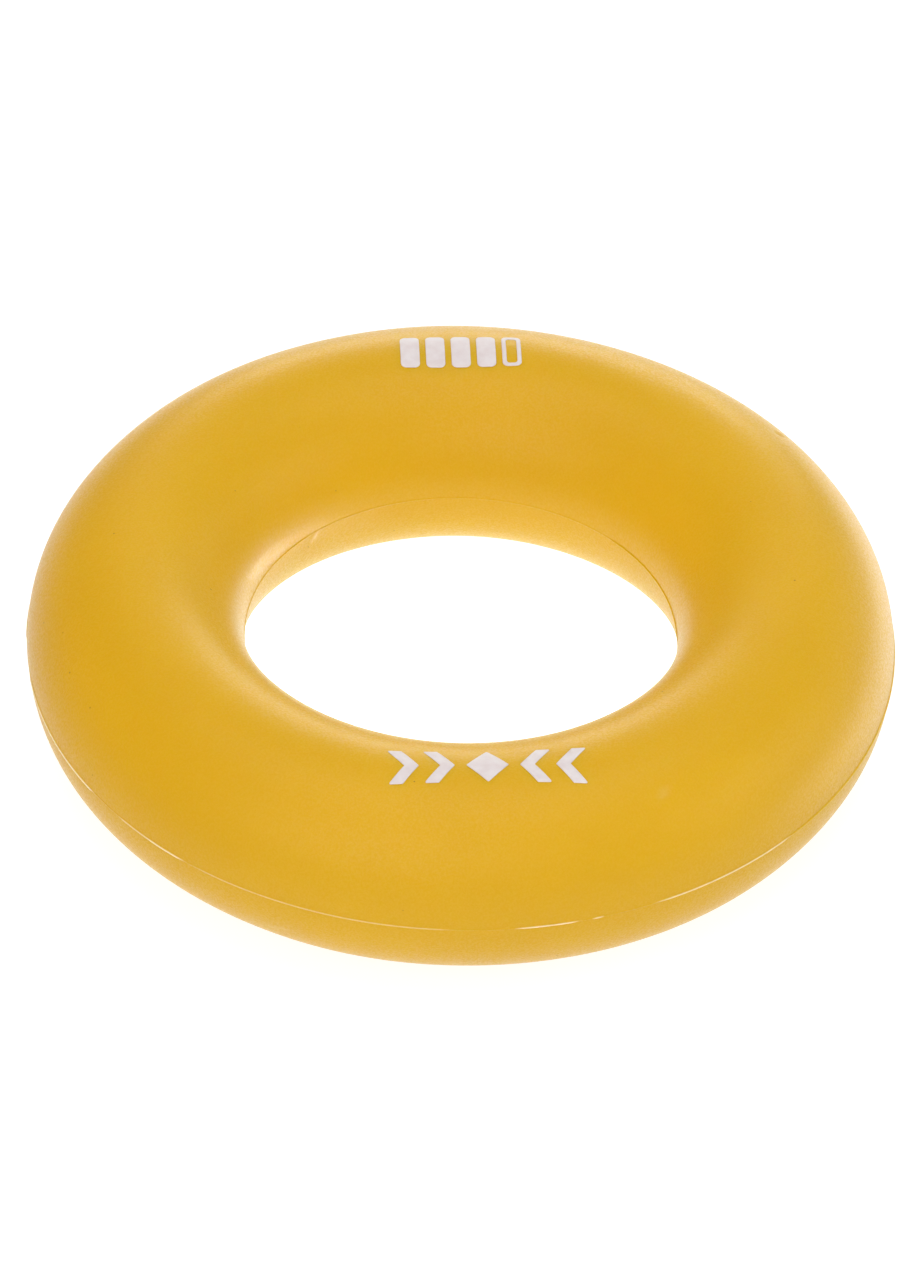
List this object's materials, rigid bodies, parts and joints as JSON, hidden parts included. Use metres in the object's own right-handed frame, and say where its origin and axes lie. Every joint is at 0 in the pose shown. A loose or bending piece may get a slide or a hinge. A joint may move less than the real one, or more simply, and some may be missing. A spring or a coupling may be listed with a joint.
{
  "type": "hand grip ring",
  "caption": "Solid silicone ring of round section for squeezing in the fist, with a printed resistance scale and a printed squeeze mark.",
  "frame": {"origin": "middle of the circle that the ring rests on, on the surface it lies on", "axes": "+Z is the ring's axis, up from the surface; +Y runs from the squeeze mark at the front to the resistance scale at the back; +X is to the right as the scale is read"},
  "size_m": [0.0802, 0.0802, 0.02],
  "materials": {
    "silicone": "matte amber-yellow silicone rubber from a fine-blasted mould, slightly translucent",
    "ink": "satin white silicone ink"
  },
  "bodies": {
    "root": {"ring_body": "silicone", "scale_bar_1": "ink", "scale_bar_2": "ink", "scale_bar_3": "ink", "scale_bar_4": "ink", "scale_bar_5": "ink", "squeeze_chevron_1": "ink", "squeeze_chevron_2": "ink", "squeeze_diamond": "ink", "squeeze_chevron_3": "ink", "squeeze_chevron_4": "ink"}
  },
  "joints": []
}
